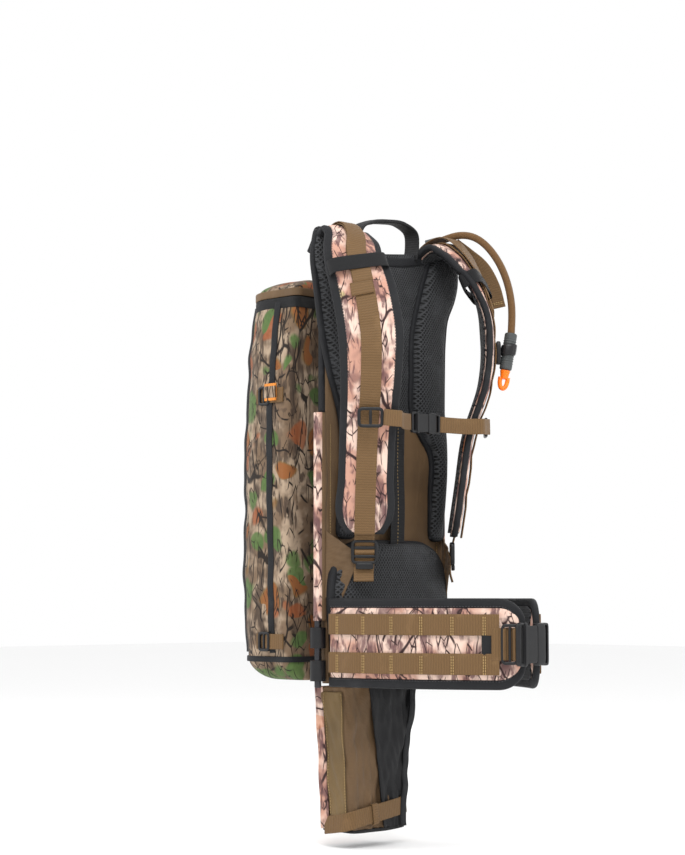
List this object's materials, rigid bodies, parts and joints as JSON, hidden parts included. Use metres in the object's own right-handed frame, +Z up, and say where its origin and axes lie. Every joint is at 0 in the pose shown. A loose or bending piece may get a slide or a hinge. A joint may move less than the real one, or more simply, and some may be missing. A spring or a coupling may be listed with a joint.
{
  "type": "hunting backpack",
  "caption": "Hunting backpack: padded harness with hip belt and frame rods, a camouflage bag behind it, a side-opening rifle compartment between them and a stock boot below.",
  "frame": {"origin": "on the centre line at the back panel's wearer side behind the lumbar pad, where the wearer's back carries the load", "axes": "+Z up, -Y towards the wearer, +Y out of the bag, -X to the wearer's right, where the rifle compartment opens"},
  "size_m": [0.3078, 0.4349, 0.777],
  "materials": {
    "camo_face": "printed brushed polyester, padded",
    "camo_bag": "printed brushed polyester with leaf pattern",
    "brown_cloth": "plain nylon cloth, wrinkled",
    "brown_webbing": "woven nylon webbing",
    "black_webbing": "woven nylon webbing",
    "black_mesh": "3-D spacer mesh",
    "black_elastic": "ribbed elastic",
    "hook_strip": "hook and loop tape",
    "black_plastic": "moulded acetal, satin",
    "frame_plastic": "polyethylene sheet",
    "rod_metal": "anodised tube, satin",
    "hose_cover": "woven insulating cover",
    "valve_grey": "moulded rubber, matt",
    "valve_orange": "silicone, translucent",
    "reservoir_film": "clear film"
  },
  "bodies": {
    "harness": {"frame_sheet": "frame_plastic", "frame_rods": "rod_metal", "rod_collars": "black_plastic", "edge_sleeves": "camo_face", "back_panel": "brown_cloth", "center_mesh_panel": "black_mesh", "right_yoke_pad": "black_mesh", "left_yoke_pad": "black_mesh", "spine_webbing": "black_webbing", "lumbar_pad": "black_mesh", "right_shoulder_strap": "camo_face", "left_shoulder_strap": "camo_face", "right_strap_webbing": "brown_webbing", "left_strap_webbing": "brown_webbing", "elastic_bands": "black_elastic", "load_lifters": "brown_webbing", "lower_webbings": "brown_webbing", "hose_port": "black_plastic", "hydration_hose": "hose_cover", "valve_sleeve": "valve_grey", "valve_clip": "black_plastic", "side_gusset": "brown_cloth"},
    "bite_valve": {"bite_valve": "valve_orange"},
    "haul_handle": {"haul_handle": "black_webbing"},
    "right_lock": {"right_ladder_lock": "black_plastic", "right_webbing_tail": "brown_webbing"},
    "left_lock": {"left_ladder_lock": "black_plastic", "left_webbing_tail": "brown_webbing"},
    "belt_right": {"right_belt_wing": "camo_face", "right_molle_rows": "brown_webbing", "right_belt_webbing": "brown_webbing", "belt_buckle_socket": "black_plastic"},
    "belt_left": {"left_belt_wing": "camo_face", "left_molle_rows": "brown_webbing", "left_belt_webbing": "brown_webbing", "belt_buckle_plug": "black_plastic"},
    "sternum_strap": {"sternum_sliders": "black_plastic", "sternum_right_webbing": "brown_webbing", "sternum_left_webbing": "brown_webbing", "sternum_buckle_socket": "black_plastic"},
    "sternum_plug": {"sternum_buckle_plug": "black_plastic"},
    "boot": {"boot_front_wall": "brown_cloth", "boot_rear_wall": "brown_cloth", "boot_side_wall": "black_mesh", "boot_floor": "black_webbing", "boot_bands": "brown_webbing", "boot_hook_strip": "hook_strip"},
    "bag": {"bag_inner_wall": "brown_cloth", "bag_right_wall": "camo_bag", "bag_left_wall": "camo_bag", "bag_outer_wall": "camo_bag", "bag_floor": "camo_bag", "front_pocket": "camo_bag", "hydration_reservoir": "reservoir_film", "compression_straps": "brown_webbing", "strap_buckles": "black_plastic"},
    "lid": {"lid_top": "camo_bag", "lid_rim": "camo_bag"},
    "zip_slider": {"zip_slider": "black_plastic"},
    "zip_pull": {"zip_pull": "black_webbing"}
  },
  "joints": [
    {"name": "bag_swing", "type": "hinge", "parent": "harness", "child": "bag", "pos_m": [0.1215, 0.051, 0], "axis": [0, 0, -1], "range_deg": [0, 30]},
    {"name": "lid_open", "type": "hinge", "parent": "bag", "child": "lid", "pos_m": [0, 0.0535, 0.3444], "axis": [1, 0, 0], "range_deg": [0, 85]},
    {"name": "belt_right_open", "type": "hinge", "parent": "harness", "child": "belt_right", "pos_m": [-0.105, -0.008, 0], "axis": [0, 0, -1], "range_deg": [0, 40]},
    {"name": "belt_left_open", "type": "hinge", "parent": "harness", "child": "belt_left", "pos_m": [0.105, -0.008, 0], "axis": [0, 0, 1], "range_deg": [0, 40]},
    {"name": "boot_fold", "type": "hinge", "parent": "harness", "child": "boot", "pos_m": [0, 0.06, -0.143], "axis": [1, 0, 0], "range_deg": [0, 90]},
    {"name": "haul_handle_fold", "type": "hinge", "parent": "harness", "child": "haul_handle", "pos_m": [0, 0.004, 0.408], "axis": [-1, 0, 0], "range_deg": [0, 85]},
    {"name": "sternum_slide", "type": "slide", "parent": "harness", "child": "sternum_strap", "axis": [0, -0.248, 0.9688], "range_m": [-0.008, 0.012]},
    {"name": "sternum_unclip", "type": "slide", "parent": "sternum_strap", "child": "sternum_plug", "axis": [1, 0, 0], "range_m": [0, 0.018], "deforming": ["sternum_left_webbing"]},
    {"name": "right_lock_tilt", "type": "hinge", "parent": "harness", "child": "right_lock", "pos_m": [-0.08177, -0.04377, 0.033], "axis": [-0.7071, 0.7071, 0], "range_deg": [0, 35]},
    {"name": "left_lock_tilt", "type": "hinge", "parent": "harness", "child": "left_lock", "pos_m": [0.08177, -0.04377, 0.033], "axis": [-0.7071, -0.7071, 0], "range_deg": [0, 35]},
    {"name": "bite_valve_pull", "type": "slide", "parent": "harness", "child": "bite_valve", "axis": [-0.1539, 0.0821, -0.9847], "range_m": [0, 0.004]},
    {"name": "zip_slide", "type": "slide", "parent": "bag", "child": "zip_slider", "axis": [1, 0, 0], "range_m": [-0.055, 0.055]},
    {"name": "zip_pull_lift", "type": "hinge", "parent": "zip_slider", "child": "zip_pull", "pos_m": [0, 0.1668, 0.336], "axis": [1, 0, 0], "range_deg": [0, 120]}
  ],
  "couplings": [
    {"joint": "belt_left_open", "follows": "belt_right_open", "ratio": 1}
  ]
}
